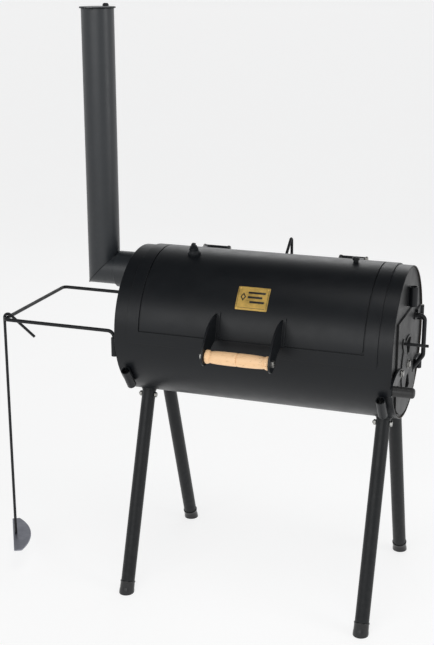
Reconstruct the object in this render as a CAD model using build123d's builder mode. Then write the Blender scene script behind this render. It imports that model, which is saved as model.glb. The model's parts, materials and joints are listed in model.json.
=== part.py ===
from build123d import *
from math import atan2, cos, degrees, hypot, radians, sin, sqrt, tan
import os

# Barrel smoker on four splayed legs. Millimetres and degrees. X runs along the barrel and +X is the end
# with the fire door, -Y is the lid handle's side, and z = 0 is the ground. Heights and depths below are
# measured from the barrel's axis. Angles round the barrel start at the back: 90 is the top, 180 the front.

# Fasteners: across-flats width, head height and nut height
hex_8 = 13
hex_10 = 17
head_8 = 5.3
head_10 = 6
nut_8 = 6.5
nut_10 = 8
washer_thickness = 2
pivot_play = 0.1                # radial, between a pivot and the part that turns on it
side_play = 0.2                 # under a bolt's head or a nut

# Barrel
barrel_od = 406.4
barrel_length = 755
shell_wall = 5
axis_height = 734
end_thickness = 5
plate_recess = 5.4              # from the right rim in to the face of the end plate

# Lid and the strip frame round its opening
lid_margin = 74.5               # from the lid's ends to the barrel's ends
lid_front = 174
lid_back = 59.5
lid_thickness = 3.2
lid_clearance = 0.4             # between the barrel and the closed lid
lid_overlap = 13                # how far the lid covers the barrel round the opening
lid_corner = 9
frame_gap = 3
frame_width = 34
frame_corner = 12

# Lid hinges
knuckle_od = 17
hinge_bolt = 10
hinge_lift = 1.7                # under the knuckles, above the lid's surface
hinge_setback = 6.7             # from the lid's back edge to the hinge line
back_gap = 9                    # from the lid's back edge to the frame's back strip
tube_start = 166
tube_length = 52
lug_width = 12
lug_reach = 34
lug_top = 20                    # height of the lug's upper edge where it lands on the lid
tube_web = 8                    # length of the web that joins a tube to the frame
end_play = 0.5
bolt_tail = 10                  # thread standing out past a tube

# Lid fittings
bracket_x = 89
bracket_thickness = 5
foot_flange = 8
flange_thickness = 3.2
bracket_top = 155.5
bracket_bottom = 175
grip_out = 77.2                 # the grip's axis in front of the lid's surface
grip_drop = 2
grip_end = 25                   # radius of the bracket round the grip's bolt
bracket_hollow = -35            # angle at which the bracket's round end meets its hollow lower edge
grip_length = 171
grip_radius = 17.5
grip_bolt = 10
plate_width = 86
plate_low = 151
plate_high = 133.3
plate_thickness = 1.2
plate_corner = 2
rivet_radius = 2.4
rivet_height = 1.3
rivet_inset = 5
socket_x = -206
socket_angle = 102
socket_radius = 18
socket_neck = 12.5
socket_shoulder = 10
socket_height = 22
socket_bore = 13
plug_collar = 9.5
plug_collar_height = 4
plug_square = 10
plug_square_height = 8
plug_play = 0.1
probe_x = 232
probe_angle = 91
probe_radius = 9.5
probe_stem = 7
probe_height = 17
fitting_seat = 3                # how far a fitting's foot is drawn below the lid's outer surface

# Lid rest, a bent rod behind the lid
rest_rod = 8
rest_height = 88.7              # the bend above the barrel's surface
rest_angle = 48.6
rest_inner_angle = 53.2
rest_outer_angle = 8.6
rest_bite = 4                   # how deep its feet are drawn before they are cut to the surface

# Right end: fire door, damper, latch
door_half_width = 128
door_top = 84
door_margin = 11.2              # from the door's round edge to the barrel's outside
door_thickness = 5
door_gap = 0.4
door_overlap = 14
door_hinge_gap = 14             # from the door's edge to its hinge line
door_hinge_out = 7
door_hinge_levels = (45, -95)
door_leaf = 50
door_knuckle_od = 15
door_knuckle_height = 20
door_pin = 8
damper_y = -5
damper_z = -58
damper_radius = 78
damper_thickness = 3
damper_ear = 24                 # width of the ear that carries the rod
vent_inner = 30
vent_outer = 72
vent_angle = 50
door_bolt = 10                  # the damper's and the latch's pivots
rod_y = -62                     # damper rod, measured from the damper's centre
rod_z = 74
rod_diameter = 8
rod_reach = 63
handle_rod = 12
handle_y = 80
handle_out = 28
handle_top = 50
handle_bottom = -98
handle_straight = 58            # half the length of the grip's straight run
handle_foot = 10                # radius of the foot ring
handle_foot_height = 4
latch_y = -104
latch_z = -52
latch_boss = 12
latch_thickness = 5
latch_edge = 4                  # lever past the knob, and the rise of its upper edge
knob_out = 2.8                  # the knob's axis in front of the barrel's side
knob_z = -66
knob_radius = 13.5
knob_reach = 60
keeper_inset = 45.2             # from the barrel's front to the latch rest
keeper_width = 16
keeper_height = 10
keeper_play = 0.5
keeper_proud = 3                # past the lever's outer face
door_bolt_grip = 22
door_washer = 24
latch_washer = 20
latch_hex = 15
pivot_head = 4.5
pivot_nut = 7

# Socket tubes
shelf_socket_od = 25
shelf_socket_bore = 20
shelf_socket_length = 67
shelf_socket_inset = 27.5       # from the barrel's ends
shelf_socket_angle = 216
accessory_od = 24
accessory_bore = 18
accessory_low = 100
accessory_height = 52
accessory_pad = 14              # width of the pad that holds the tube off the end plate
rim_clearance = 0.5             # between a peg in the tube and the barrel's rim
weld_bite = 0.8                 # how far a tube's side is flattened where it is welded on

# Chimney
flue_margin = 23.25             # between the flue and the barrel's inner wall
flue_od = 88.9
flue_wall = 3
flue_fit = 0.3
collar_wall = 6.05
collar_length = 69.5
flue_entry = 8                  # from the cap's outer face to the elbow's end inside the collar
elbow_show = 2.55               # of the elbow, between the collar and the upright pipe
chimney_top = 842
cap_overhang = 4.55
cap_thickness = 4
cap_gap = 0.4
cap_pivot_out = 8.55            # from the pipe's side to the cap's pivot
cap_bolt = 8
cap_ear = 11
cap_tab_reach = 15
cap_tab_width = 18
cap_lug_radius = 8
cap_lug_height = 18
cap_bolt_tail = 4
cap_dome = 8.5
cap_dome_height = 7

# Side rail and ash rake
rail_rod = 10
rail_inset = 17.2               # from the barrel's side in to the rail's rod
rail_z = 6
rail_out = 342.5                # from the barrel's left end
rail_bend = 18
rail_corner = 12
rail_socket_od = 17
rail_socket_bore = 11
rail_socket_low = -64
rail_socket_height = 52
rail_clear = 6
rake_rod = 8
rake_y = -163
rake_turn = 20                  # the rake's hook is turned this far from the X axis
rake_gap = 0.4
rake_length = 668
rake_tip = 92
rake_tip_slope = 45
blade_turn = 30                 # the blade's straight edge is turned this far from the Y axis
blade_width = 210
blade_depth = 52                # to the middle of its round edge, which fits the barrel's wall
blade_edge = 8.5                # from the rod's axis to the blade's straight edge
blade_thickness = 4
blade_corner = 3

# Legs
leg_inset = 42.5                # from the barrel's ends
leg_spread = 256                # from the barrel's axis to a foot's centre on the ground
leg_od = 38
leg_wall = 2
leg_gap = 4.8                   # between the barrel and a leg's upper end
stub_clearance = 0.3
stub_wall = 3
stub_reach = 58.8               # from the barrel's surface
weld_depth = 8                  # how far a stub is drawn into the barrel before it is cut to its surface
leg_bolt = 8
leg_bolt_drop = 11
foot_od = 42
foot_height = 33
foot_floor = 7

# Grates
ledge_z = -20
ledge_width = 24
ledge_thickness = 4
ledge_inset = 67.5              # from the barrel's ends
grate_edge_gap = 13.2           # from a cooking grate's edge to the barrel's wall
grate_end_gap = 14              # from a cooking grate's end to the ledge's end
grate_rim = 8
grate_space = 8                 # between the two cooking grates
bar_diameter = 5
bar_pitch = 16
coal_z = -118
coal_length = 300
coal_gap = 22.1                 # from the right end plate
grate_gap = 0.4

shell_r = barrel_od / 2
inner_r = shell_r - shell_wall
lid_r = shell_r + lid_clearance
skin_r = lid_r + lid_thickness              # the lid's outer surface, and the frame's
right_end = barrel_length / 2
left_end = -barrel_length / 2
lid_length = barrel_length - 2 * lid_margin
lid_end = lid_length / 2
frame_in = lid_end + frame_gap
frame_out = frame_in + frame_width
hinge_r = skin_r + hinge_lift + knuckle_od / 2
hinge_angle = lid_back - degrees(hinge_setback / skin_r)
hinge_y = hinge_r * cos(radians(hinge_angle))
hinge_z = hinge_r * sin(radians(hinge_angle))
grip_depth = skin_r + grip_out
plate_face = right_end - plate_recess
door_radius = shell_r - door_margin
door_hinge_y = door_half_width + door_hinge_gap
knob_y = -shell_r - knob_out
keeper_y = keeper_inset - shell_r
shelf_socket_x = right_end - shelf_socket_inset
door_face = plate_face + door_gap + door_thickness
damper_back = door_face + door_gap
damper_face = damper_back + damper_thickness
latch_back = door_face + 2 * door_gap
latch_face = latch_back + latch_thickness
door_axis_x = right_end + door_hinge_out
flue_r = flue_od / 2
flue_z = inner_r - flue_margin - flue_r
collar_od = flue_od + 2 * (flue_fit + collar_wall)
chimney_x = left_end - collar_length - elbow_show - flue_r
cap_radius = flue_r + cap_overhang
cap_pivot = flue_r + cap_pivot_out
cap_tab = cap_radius + cap_tab_reach
rail_y = shell_r - rail_inset
rail_reach = rail_out - left_end
leg_x = right_end - leg_inset
leg_top = shell_r + leg_gap
leg_bolt_depth = leg_top + leg_bolt_drop
stub_depth = shell_r + stub_reach
leg_angle = degrees(atan2(leg_spread, axis_height))
leg_length = hypot(leg_spread, axis_height)
foot_solid = foot_floor + leg_od / 2 * tan(radians(leg_angle))
rake_bend = (rail_rod + rake_rod) / 2 / cos(radians(rake_turn)) + rake_gap
ledge_length = barrel_length - 2 * ledge_inset
grate_length = (ledge_length - grate_space) / 2 - grate_end_gap
grate_half_depth = sqrt(inner_r ** 2 - ledge_z ** 2) - grate_edge_gap
coal_centre = plate_face - end_thickness - coal_gap - coal_length / 2
coal_half_depth = sqrt((inner_r - grate_gap) ** 2 - coal_z ** 2)

# The origin is on the ground, under the middle of the whole assembly's box.
turn = radians(rake_turn)
blade_cos, blade_sin = cos(radians(blade_turn)), sin(radians(blade_turn))
blade_reach = (blade_edge * blade_cos + blade_width / 2 * blade_sin
               - blade_corner * (blade_cos + blade_sin - 1))
left_reach = rail_reach + rake_bend * cos(turn) + blade_reach
right_reach = damper_face + rod_reach
front_reach = grip_depth + grip_end
back_reach = leg_spread + foot_od / 2 / cos(radians(leg_angle))
barrel_x = (left_reach - right_reach) / 2
barrel_y = (front_reach - back_reach) / 2


def point(x, y, z):
    """A place given from the middle of the barrel's axis."""
    return Vector(barrel_x + x, barrel_y + y, axis_height + z)


def polar(radius, angle):
    """The y and z of a place on a circle round the barrel's axis."""
    return (radius * cos(radians(angle)), radius * sin(radians(angle)))


def across(x):
    """The plane square to the barrel at x. Its own axes are +Y and +Z."""
    return Plane(origin=point(x, 0, 0), x_dir=(0, 1, 0), z_dir=(1, 0, 0))


def level(x, y, z):
    """A horizontal plane, facing up."""
    return Plane(origin=point(x, y, z))


def outward(x, angle, radius):
    """The plane that touches a circle round the barrel, facing away from the axis."""
    y, z = polar(radius, angle)
    normal = (0, cos(radians(angle)), sin(radians(angle)))
    return Plane(origin=point(x, y, z), x_dir=(1, 0, 0), z_dir=normal)


def leg_plane(x, side, distance):
    """The plane square to a leg, at a distance from the barrel's axis. side is -1 in front."""
    out = Vector(0, side * sin(radians(leg_angle)), -cos(radians(leg_angle)))
    return Plane(origin=point(x, 0, 0) + out * distance, x_dir=(1, 0, 0), z_dir=out)


def arc_angle(length, radius):
    """The angle taken by a length along a circle."""
    return degrees(length / radius)


def facing(x, y, z, way):
    """The plane at a place that faces along X. way is 1 or -1. Its own x axis is +Y."""
    return Plane(origin=point(x, y, z), x_dir=(0, 1, 0), z_dir=(way, 0, 0))


def vents(mode):
    """Draw or cut the two damper vents in the current sketch."""
    for middle_angle in (90, 270):
        start = middle_angle - vent_angle / 2
        sector(damper_y, damper_z, vent_inner, vent_outer, start, start + vent_angle, mode)


def sector(y, z, inner, outer, start, end, mode):
    """Draw or cut a band about (y, z) in the current sketch."""
    with BuildLine() as outline:
        far = CenterArc((y, z), outer, start, end - start)
        near = CenterArc((y, z), inner, start, end - start)
        Line(near @ 0, far @ 0)
        Line(near @ 1, far @ 1)
    make_face(outline.edges(), mode=mode)


def strip(inner, outer, start, end):
    """Draw a band between two radii and two angles in the current sketch."""
    sector(0, 0, inner, outer, start, end, Mode.ADD)


def ring(outer, inner):
    """Draw a ring in the current sketch."""
    Circle(outer)
    Circle(inner, mode=Mode.SUBTRACT)


def door_outline(inset):
    """Draw the fire door's outline, or a smaller copy of it, in the current sketch."""
    Circle(door_radius - inset)
    with Locations((0, door_top - inset)):
        Rectangle(2 * (door_half_width - inset), 2 * barrel_od, align=(Align.CENTER, Align.MAX),
                  mode=Mode.INTERSECT)


def clear_of_barrel(radius):
    """Cut the current part back to a cylinder round the barrel's axis."""
    with BuildSketch(across(left_end - 100)) as round_section:
        Circle(radius)
    extrude(round_section.sketch, amount=barrel_length + 200, mode=Mode.SUBTRACT)


def corner_edges(part, thickness):
    """The short straight edges through a curved sheet, at its corners."""
    straight = part.edges().filter_by(GeomType.LINE)
    return straight.filter_by(lambda edge: abs(edge.length - thickness) < 0.01)


def save(part, name):
    part.label = name
    export_step(part, f"parts/{name}.step")


def bolt(plane, diameter, length, head_width, head_height, washer=0.0):
    """A hex bolt: its head stands on the plane, its shank runs back from it."""
    with BuildPart() as body:
        with BuildSketch(plane):
            Circle(diameter / 2)
        extrude(amount=-length)
        if washer:
            with BuildSketch(plane):
                Circle(washer / 2)
            extrude(amount=washer_thickness)
        with BuildSketch(plane.offset(washer_thickness if washer else 0)):
            RegularPolygon(head_width / 2, 6, major_radius=False)
        extrude(amount=head_height)
    return body.part


def nut(plane, bore, width, height):
    with BuildPart() as body:
        with BuildSketch(plane):
            RegularPolygon(width / 2, 6, major_radius=False)
            Circle(bore / 2, mode=Mode.SUBTRACT)
        extrude(amount=height)
    return body.part


os.makedirs("parts", exist_ok=True)

# ---- Barrel ----

overlap_angle = arc_angle(lid_overlap, shell_r)
opening_length = lid_length - 2 * lid_overlap
with BuildPart() as shell:
    with BuildSketch(across(left_end)):
        ring(shell_r, inner_r)
    extrude(amount=barrel_length)
    with BuildSketch(across(-opening_length / 2)):
        strip(inner_r - shell_wall, shell_r + shell_wall, lid_back + overlap_angle, lid_front - overlap_angle)
    extrude(amount=opening_length, mode=Mode.SUBTRACT)
save(shell.part, "barrel_shell")

gap_angle = arc_angle(frame_gap, skin_r)
width_angle = arc_angle(frame_width, skin_r)
frame_low = lid_front + gap_angle + width_angle
frame_back = lid_back - arc_angle(back_gap, skin_r)
with BuildPart() as frame:
    with BuildSketch(across(-frame_out)):
        strip(shell_r, skin_r, frame_back - width_angle, frame_low)
    extrude(amount=2 * frame_out)
    fillet(corner_edges(frame, skin_r - shell_r), frame_corner)
    with BuildSketch(across(-frame_in)):
        strip(inner_r, hinge_r, frame_back, lid_front + gap_angle)
    extrude(amount=2 * frame_in, mode=Mode.SUBTRACT)
save(frame.part, "lid_frame")

with BuildPart() as left_cap:
    with BuildSketch(across(left_end)):
        Circle(inner_r)
        with Locations((0, flue_z)):
            Circle(flue_r + flue_fit, mode=Mode.SUBTRACT)
    extrude(amount=end_thickness)
save(left_cap.part, "left_end_cap")

with BuildPart() as end_plate:
    with BuildSketch(across(plate_face)):
        Circle(inner_r)
    extrude(amount=-end_thickness)
    with BuildSketch(across(plate_face)):
        door_outline(door_overlap)
    extrude(amount=-end_thickness, mode=Mode.SUBTRACT)
save(end_plate.part, "right_end_plate")

with BuildPart() as ledges:
    with BuildSketch(across(-ledge_length / 2)):
        with Locations((0, ledge_z - ledge_thickness / 2)):
            Rectangle(barrel_od, ledge_thickness)
        Circle(inner_r, mode=Mode.INTERSECT)
        Rectangle(2 * (sqrt(inner_r ** 2 - ledge_z ** 2) - ledge_width), barrel_od, mode=Mode.SUBTRACT)
    extrude(amount=ledge_length)
save(ledges.part, "grate_ledges")

# ---- Lid ----

lug_start = tube_start + tube_length + end_play
lug_angle = hinge_angle + arc_angle(lug_reach, hinge_r)
with BuildPart() as lid:
    with BuildSketch(across(-lid_end)):
        strip(lid_r, skin_r, lid_back, lid_front)
    extrude(amount=lid_length)
    fillet(corner_edges(lid, lid_thickness), lid_corner)
    with BuildSketch(outward(socket_x, socket_angle, inner_r)):
        Circle(socket_bore / 2)
    extrude(amount=hinge_r - inner_r, mode=Mode.SUBTRACT)
save(lid.part, "lid_panel")

with BuildPart() as lugs:
    for start in (lug_start, -lug_start - lug_width):
        with BuildSketch(across(start)):
            strip(skin_r, hinge_r, hinge_angle, lug_angle)
            with BuildLine():
                Polyline(polar(skin_r + lid_thickness, lug_angle), polar(hinge_r + lug_top, lug_angle),
                         polar(hinge_r + knuckle_od / 2, hinge_angle), close=True)
            make_face(mode=Mode.SUBTRACT)
            with Locations((hinge_y, hinge_z)):
                Circle(knuckle_od / 2)
                Circle(hinge_bolt / 2 + pivot_play, mode=Mode.SUBTRACT)
        extrude(amount=lug_width)
save(lugs.part, "lid_hinge_lugs")

with BuildPart() as tubes:
    for start in (tube_start, -tube_start - tube_length):
        with BuildSketch(across(start)):
            strip(skin_r, hinge_r, hinge_angle - arc_angle(tube_web, hinge_r), hinge_angle)
            with Locations((hinge_y, hinge_z)):
                Circle(knuckle_od / 2)
                Circle(hinge_bolt / 2 + pivot_play, mode=Mode.SUBTRACT)
        extrude(amount=tube_length)
save(tubes.part, "lid_hinge_tubes")

head_x = lug_start + lug_width + end_play
bolt_length = head_x - tube_start + bolt_tail
right_bolt = bolt(facing(head_x, hinge_y, hinge_z, 1), hinge_bolt, bolt_length, hex_10, head_10)
middle = Plane(origin=point(0, 0, 0), z_dir=(1, 0, 0))
save(Compound([right_bolt, mirror(right_bolt, about=middle)]), "lid_hinge_bolts")
right_nut = nut(facing(tube_start - side_play, hinge_y, hinge_z, -1), hinge_bolt, hex_10, nut_10)
save(Compound([right_nut, mirror(right_nut, about=middle)]), "lid_hinge_nuts")

# Handle: two fins with a foot flange each, and a turned grip on a through bolt.
grip_y, grip_z = -grip_depth, -grip_drop
for name, middle_x in (("left", -bracket_x), ("right", bracket_x)):
    with BuildPart() as bracket:
        with BuildSketch(across(middle_x - bracket_thickness / 2)):
            with BuildLine():
                top = polar(skin_r - 2, bracket_top)
                bottom = polar(skin_r - 2, bracket_bottom)
                end_out = (grip_y - grip_end, grip_z)
                under_y, under_z = polar(grip_end, bracket_hollow)
                round_y, round_z = polar(grip_end, (180 + 360 + bracket_hollow) / 2)
                end_low = (grip_y + under_y, grip_z + under_z)
                ThreePointArc(top, (grip_y + 21, grip_z + 67), end_out)
                ThreePointArc(end_out, (grip_y + round_y, grip_z + round_z), end_low)
                ThreePointArc(end_low, (grip_y + 44, grip_z + 9), bottom)
                Line(bottom, top)
            make_face()
            Circle(skin_r, mode=Mode.SUBTRACT)
            with Locations((grip_y, grip_z)):
                Circle(grip_bolt / 2, mode=Mode.SUBTRACT)
        extrude(amount=bracket_thickness)
        with BuildSketch(across(middle_x + bracket_thickness / 2)):
            strip(skin_r, skin_r + flange_thickness, bracket_top - 1, bracket_bottom - 0.5)
        extrude(amount=foot_flange)
    save(bracket.part, f"handle_bracket_{name}")

grip_line = Plane(origin=point(0, grip_y, grip_z), x_dir=(1, 0, 0), z_dir=(0, -1, 0))
half = grip_length / 2
with BuildPart() as grip:
    with BuildSketch(grip_line):
        with BuildLine():
            groove = (0, grip_radius - 1.8)
            shoulder = (3, grip_radius - 0.2)
            neck = (half - 12, grip_radius - 2.2)
            bead = (half - 3, grip_radius + 0.5)
            rim = (half, grip_radius - 2)
            Line((0, grip_bolt / 2), groove)
            ThreePointArc(groove, (1.2, grip_radius - 0.7), shoulder)
            Spline(shoulder, (half * 0.45, grip_radius), (half - 17, grip_radius - 1.6), neck)
            ThreePointArc(neck, (half - 8, grip_radius - 0.4), bead)
            ThreePointArc(bead, (half - 0.8, grip_radius), rim)
            Line(rim, (half, grip_bolt / 2))
            Line((half, grip_bolt / 2), (0, grip_bolt / 2))
        make_face()
        mirror(about=Plane.YZ)
    revolve(axis=Axis(grip_line.origin, (1, 0, 0)))
save(grip.part, "handle_grip")

outside = bracket_x + bracket_thickness / 2
grip_shank = grip_bolt - 2 * pivot_play
grip_screw = bolt(facing(outside, grip_y, grip_z, 1), grip_shank, 2 * outside + bolt_tail, hex_10, head_10)
grip_nut = nut(facing(-outside, grip_y, grip_z, -1), grip_shank, hex_10, nut_10)
save(Compound([grip_screw, grip_nut]), "handle_bolt")

with BuildPart() as plate:
    with BuildSketch(across(-plate_width / 2)):
        strip(skin_r, skin_r + plate_thickness, plate_high, plate_low)
    extrude(amount=plate_width)
    fillet(corner_edges(plate, plate_thickness), plate_corner)
save(plate.part, "name_plate")

rivet_turn = arc_angle(rivet_inset, skin_r)
with BuildPart() as rivets:
    for x in (rivet_inset - plate_width / 2, plate_width / 2 - rivet_inset):
        for angle in (plate_high + rivet_turn, plate_low - rivet_turn):
            with BuildSketch(outward(x, angle, skin_r + plate_thickness)):
                Circle(rivet_radius)
            extrude(amount=rivet_height, taper=30)
save(rivets.part, "plate_rivets")

# Stepped socket with a square-headed plug, and a small round-headed plug.
seat = skin_r - fitting_seat
boss = outward(socket_x, socket_angle, seat)
boss_side = Plane(origin=boss.origin, x_dir=(1, 0, 0), z_dir=boss.y_dir * -1)
with BuildPart() as socket:
    with BuildSketch(boss_side):
        with BuildLine():
            Polyline((socket_bore / 2, 0), (socket_radius, 0), (socket_radius, socket_shoulder - 2),
                     (socket_radius - 2, socket_shoulder), (socket_neck, socket_shoulder + 5),
                     (socket_neck, socket_height - 2), (socket_neck - 1.5, socket_height),
                     (socket_bore / 2, socket_height), close=True)
        make_face()
    revolve(axis=Axis(boss.origin, boss.z_dir))
    clear_of_barrel(skin_r)
save(socket.part, "thermometer_socket")

with BuildPart() as plug:
    with BuildSketch(boss.offset(-fitting_seat)):
        Circle(socket_bore / 2 - plug_play)
    extrude(amount=socket_height + fitting_seat)
    with BuildSketch(boss.offset(socket_height)):
        Circle(plug_collar)
    extrude(amount=plug_collar_height)
    with BuildSketch(boss.offset(socket_height + plug_collar_height)):
        Rectangle(plug_square, plug_square)
    extrude(amount=plug_square_height)
    chamfer(plug.faces().sort_by(Axis(boss.origin, boss.z_dir))[-1].edges(), 1)
save(plug.part, "thermometer_plug")

probe_seat = outward(probe_x, probe_angle, seat)
with BuildPart() as probe:
    with BuildSketch(probe_seat):
        Circle(probe_stem)
    extrude(amount=probe_height / 2)
    with BuildSketch(probe_seat.offset(probe_height / 2)):
        Circle(probe_radius)
    extrude(amount=probe_height / 2)
    fillet(probe.faces().sort_by(Axis(probe_seat.origin, probe_seat.z_dir))[-1].edges(), 4)
    clear_of_barrel(skin_r)
save(probe.part, "probe_port_plug")

rest_top = polar(shell_r + rest_height, rest_angle)
rest_inner_foot = polar(shell_r - rest_bite, rest_inner_angle)
rest_outer_foot = polar(shell_r - rest_bite, rest_outer_angle)
with BuildPart() as rest:
    with BuildLine(across(0)):
        FilletPolyline(rest_inner_foot, rest_top, rest_outer_foot, radius=rest_rod)
    rest_start = point(0, *rest_inner_foot)
    with BuildSketch(Plane(origin=rest_start, z_dir=point(0, *rest_top) - rest_start)):
        Circle(rest_rod / 2)
    sweep()
    clear_of_barrel(shell_r)
    add(frame.part, mode=Mode.SUBTRACT)
save(rest.part, "lid_rest")

# ---- Fire door ----

with BuildPart() as door:
    with BuildSketch(across(door_face)):
        door_outline(0)
        vents(Mode.SUBTRACT)
        with Locations((damper_y, damper_z), (latch_y, latch_z)):
            Circle(door_bolt / 2 + pivot_play, mode=Mode.SUBTRACT)
    extrude(amount=-door_thickness)
save(door.part, "fire_door")

# Door hinges: a fixed knuckle with a block to the end plate, and a knuckle with a leaf on the door above it.
with BuildPart() as fixed_knuckles:
    for z in door_hinge_levels:
        with BuildSketch(level(0, 0, z - door_knuckle_height - end_play / 2)):
            with Locations((plate_face, door_hinge_y)):
                Rectangle(door_axis_x - plate_face, door_knuckle_od - 1, align=(Align.MIN, Align.CENTER))
            with Locations((door_axis_x, door_hinge_y)):
                Circle(door_knuckle_od / 2)
                Circle(door_pin / 2, mode=Mode.SUBTRACT)
        extrude(amount=door_knuckle_height)
save(fixed_knuckles.part, "door_hinge_blocks")

with BuildPart() as leaves:
    for z in door_hinge_levels:
        with BuildSketch(level(0, 0, z + end_play / 2)):
            with Locations((door_face, door_hinge_y)):
                Rectangle(door_knuckle_od / 2, door_leaf, align=(Align.MIN, Align.MAX))
            with Locations((door_axis_x, door_hinge_y)):
                Circle(door_knuckle_od / 2)
                Circle(door_pin / 2 + pivot_play, mode=Mode.SUBTRACT)
        extrude(amount=door_knuckle_height)
save(leaves.part, "door_hinge_leaves")

with BuildPart() as pins:
    for z in door_hinge_levels:
        with BuildSketch(level(door_axis_x, door_hinge_y, z - door_knuckle_height - 2)):
            Circle(door_pin / 2)
        extrude(amount=2 * door_knuckle_height + 3)
save(pins.part, "door_hinge_pins")

# Door handle: a bent rod, square to the door at the top and slanting back to it at the bottom.
handle_side = Plane(origin=point(door_face, handle_y, 0), x_dir=(1, 0, 0), z_dir=(0, -1, 0))
handle_start = Vector(handle_out, 0, handle_straight - handle_top)
with BuildPart() as door_handle:
    with BuildLine(handle_side):
        FilletPolyline((0, handle_top), (handle_out, handle_straight), (handle_out, -handle_straight),
                       (0, handle_bottom), radius=(handle_rod + 2, 1.5 * handle_rod))
    with BuildSketch(Plane(origin=point(door_face, handle_y, handle_top), z_dir=handle_start)):
        Circle(handle_rod / 2)
    sweep()
    for z in (handle_top, handle_bottom):
        with BuildSketch(facing(door_face, handle_y, z, 1)):
            Circle(handle_foot)
        extrude(amount=handle_foot_height)
    with BuildSketch(across(door_face)):
        Rectangle(3 * door_radius, 3 * door_radius)
    extrude(amount=-2 * handle_rod, mode=Mode.SUBTRACT)
save(door_handle.part, "door_handle")

damper_head = facing(damper_face + door_gap, damper_y, damper_z, 1)
latch_head = facing(latch_face + door_gap, latch_y, latch_z, 1)
damper_pivot = bolt(damper_head, door_bolt, door_bolt_grip, hex_10, pivot_head, washer=door_washer)
latch_pivot = bolt(latch_head, door_bolt, door_bolt_grip, latch_hex, pivot_head, washer=latch_washer)
save(Compound([damper_pivot, latch_pivot]), "door_bolts")
door_back = door_face - door_thickness
damper_nut = nut(facing(door_back, damper_y, damper_z, -1), door_bolt, hex_10, pivot_nut)
latch_nut = nut(facing(door_back, latch_y, latch_z, -1), door_bolt, hex_10, pivot_nut)
save(Compound([damper_nut, latch_nut]), "door_nuts")

rod_r = hypot(rod_y, rod_z)
rod_angle = degrees(atan2(rod_z, rod_y))
with BuildPart() as damper:
    with BuildSketch(across(damper_back)):
        with Locations((damper_y, damper_z)):
            Circle(damper_radius)
            with Locations(Location((0, 0, 0), (0, 0, rod_angle))):
                SlotCenterToCenter(2 * rod_r, damper_ear)
                Rectangle(3 * rod_r, damper_ear, align=(Align.MAX, Align.CENTER), mode=Mode.SUBTRACT)
            Circle(damper_radius)
            Circle(door_bolt / 2 + pivot_play, mode=Mode.SUBTRACT)
        vents(Mode.SUBTRACT)
    extrude(amount=damper_thickness)
save(damper.part, "damper_disc")

with BuildPart() as damper_rod:
    with BuildSketch(facing(damper_face, damper_y + rod_y, damper_z + rod_z, 1)):
        Circle(rod_diameter / 2)
    extrude(amount=rod_reach)
    fillet(damper_rod.faces().sort_by(Axis.X)[-1].edges(), 1.5)
save(damper_rod.part, "damper_rod")

boss_low = (latch_y, latch_z - latch_boss)
boss_high = (latch_y, latch_z + latch_boss)
nose_low = (knob_y - knob_radius - latch_edge, knob_z - knob_radius)
nose_high = (knob_y - knob_radius - latch_edge, knob_z + knob_radius - latch_edge)
with BuildPart() as lever:
    with BuildSketch(across(latch_back)):
        with BuildLine():
            Spline(boss_high, ((latch_y + knob_y) / 2, latch_z + latch_boss + latch_edge), nose_high)
            Polyline(nose_high, nose_low, boss_low, boss_high)
        make_face()
        fillet(vertices().sort_by(Axis.X)[:2], latch_edge)
        with Locations((latch_y, latch_z)):
            Circle(latch_boss)
            Circle(door_bolt / 2 + pivot_play, mode=Mode.SUBTRACT)
    extrude(amount=latch_thickness)
save(lever.part, "latch_lever")

with BuildPart() as knob:
    with BuildSketch(facing(latch_face, knob_y, knob_z, 1)):
        Circle(knob_radius)
    extrude(amount=knob_reach - latch_thickness)
    fillet(knob.faces().sort_by(Axis.X)[-1].edges(), knob_radius / 2)
save(knob.part, "latch_grip")

# The lever's lower edge slopes, so the rest's top stays just under it.
slope = (nose_low[1] - boss_low[1]) / (nose_low[0] - boss_low[0])
keeper_z = boss_low[1] + slope * (keeper_y - latch_y) - keeper_play
keeper_half = keeper_width / 2
with BuildPart() as keeper:
    with BuildSketch(across(plate_face)):
        with BuildLine():
            Polyline((keeper_y - keeper_half, keeper_z - slope * keeper_half),
                     (keeper_y + keeper_half, keeper_z + slope * keeper_half),
                     (keeper_y + keeper_half, keeper_z - keeper_height),
                     (keeper_y - keeper_half, keeper_z - keeper_height), close=True)
        make_face()
    extrude(amount=latch_face - plate_face + keeper_proud)
save(keeper.part, "latch_rest")

# ---- Socket tubes ----

for name, x in (("left", -shelf_socket_x), ("right", shelf_socket_x)):
    weld = outward(x, shelf_socket_angle, shell_r + shelf_socket_od / 2 - weld_bite)
    with BuildPart() as shelf_socket:
        with BuildSketch(Plane(origin=weld.origin, x_dir=(1, 0, 0), z_dir=weld.y_dir)):
            ring(shelf_socket_od / 2, shelf_socket_bore / 2)
        extrude(amount=shelf_socket_length / 2, both=True)
        clear_of_barrel(shell_r)
    save(shelf_socket.part, f"shelf_socket_{name}")

accessory_x = right_end + rim_clearance + accessory_bore / 2
with BuildPart() as accessory:
    with BuildSketch(level(0, 0, accessory_low)):
        with Locations((plate_face, 0)):
            Rectangle(accessory_x - plate_face, accessory_pad, align=(Align.MIN, Align.CENTER))
        with Locations((accessory_x, 0)):
            Circle(accessory_od / 2)
            Circle(accessory_bore / 2, mode=Mode.SUBTRACT)
    extrude(amount=accessory_height)
save(accessory.part, "accessory_socket")

rail_x = left_end - rail_socket_od / 2 + weld_bite
with BuildPart() as rail_sockets:
    for y in (-rail_y, rail_y):
        with BuildSketch(level(rail_x, y, rail_socket_low)):
            ring(rail_socket_od / 2, rail_socket_bore / 2)
        extrude(amount=rail_socket_height)
    with BuildSketch(across(left_end)):
        Circle(barrel_od)
    extrude(amount=rail_socket_od, mode=Mode.SUBTRACT)
save(rail_sockets.part, "rail_sockets")

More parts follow.
